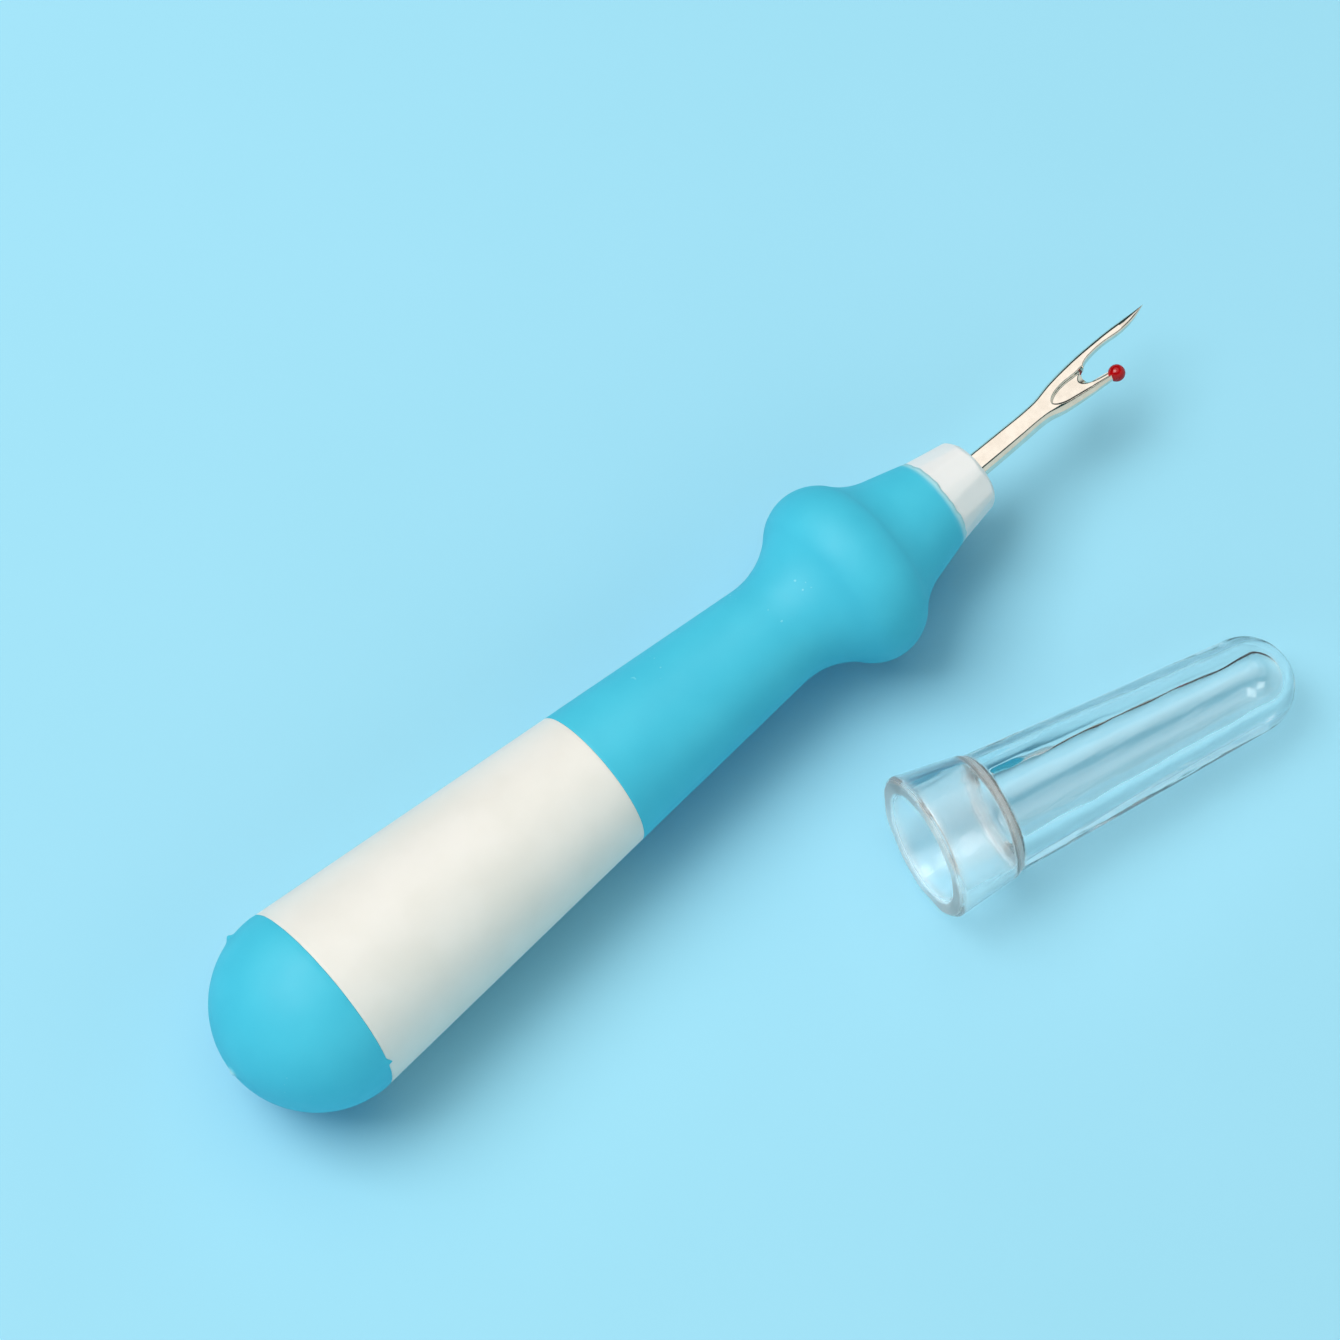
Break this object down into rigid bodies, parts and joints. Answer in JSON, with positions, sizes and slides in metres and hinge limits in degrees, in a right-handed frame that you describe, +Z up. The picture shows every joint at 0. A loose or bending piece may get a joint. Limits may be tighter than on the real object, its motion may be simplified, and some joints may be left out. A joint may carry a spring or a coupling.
{
  "type": "seam ripper",
  "caption": "Seam ripper with a soft-grip tapered handle, a forked steel blade with a ball on its short prong, and a clear pull-off cap.",
  "frame": {"origin": "middle of the footprint of the handle and the cap, on the table plane", "axes": "+X along the handle towards the blade's point, +Y to the left of it, +Z up from the table"},
  "size_m": [0.14, 0.0566, 0.024],
  "materials": {
    "white_polypropylene": "fine matte moulded polypropylene",
    "holder_polypropylene": "smooth satin moulded polypropylene",
    "grip_rubber": "matte soft-touch thermoplastic rubber",
    "plated_steel": "nickel-plated pressed steel",
    "red_plastic": "glossy moulded plastic",
    "clear_polystyrene": "clear glossy moulded polystyrene"
  },
  "bodies": {
    "handle": {"handle_core": "white_polypropylene", "blade_holder": "holder_polypropylene", "front_grip": "grip_rubber", "rear_dome": "grip_rubber", "seam_blade": "plated_steel", "ball_tip": "red_plastic"},
    "cap": {"clear_cap": "clear_polystyrene"}
  },
  "joints": [
    {"name": "cap_slide", "type": "slide", "parent": "handle", "child": "cap", "axis": [0.9778, -0.2096, 0], "range_m": [0, 0.046]}
  ]
}
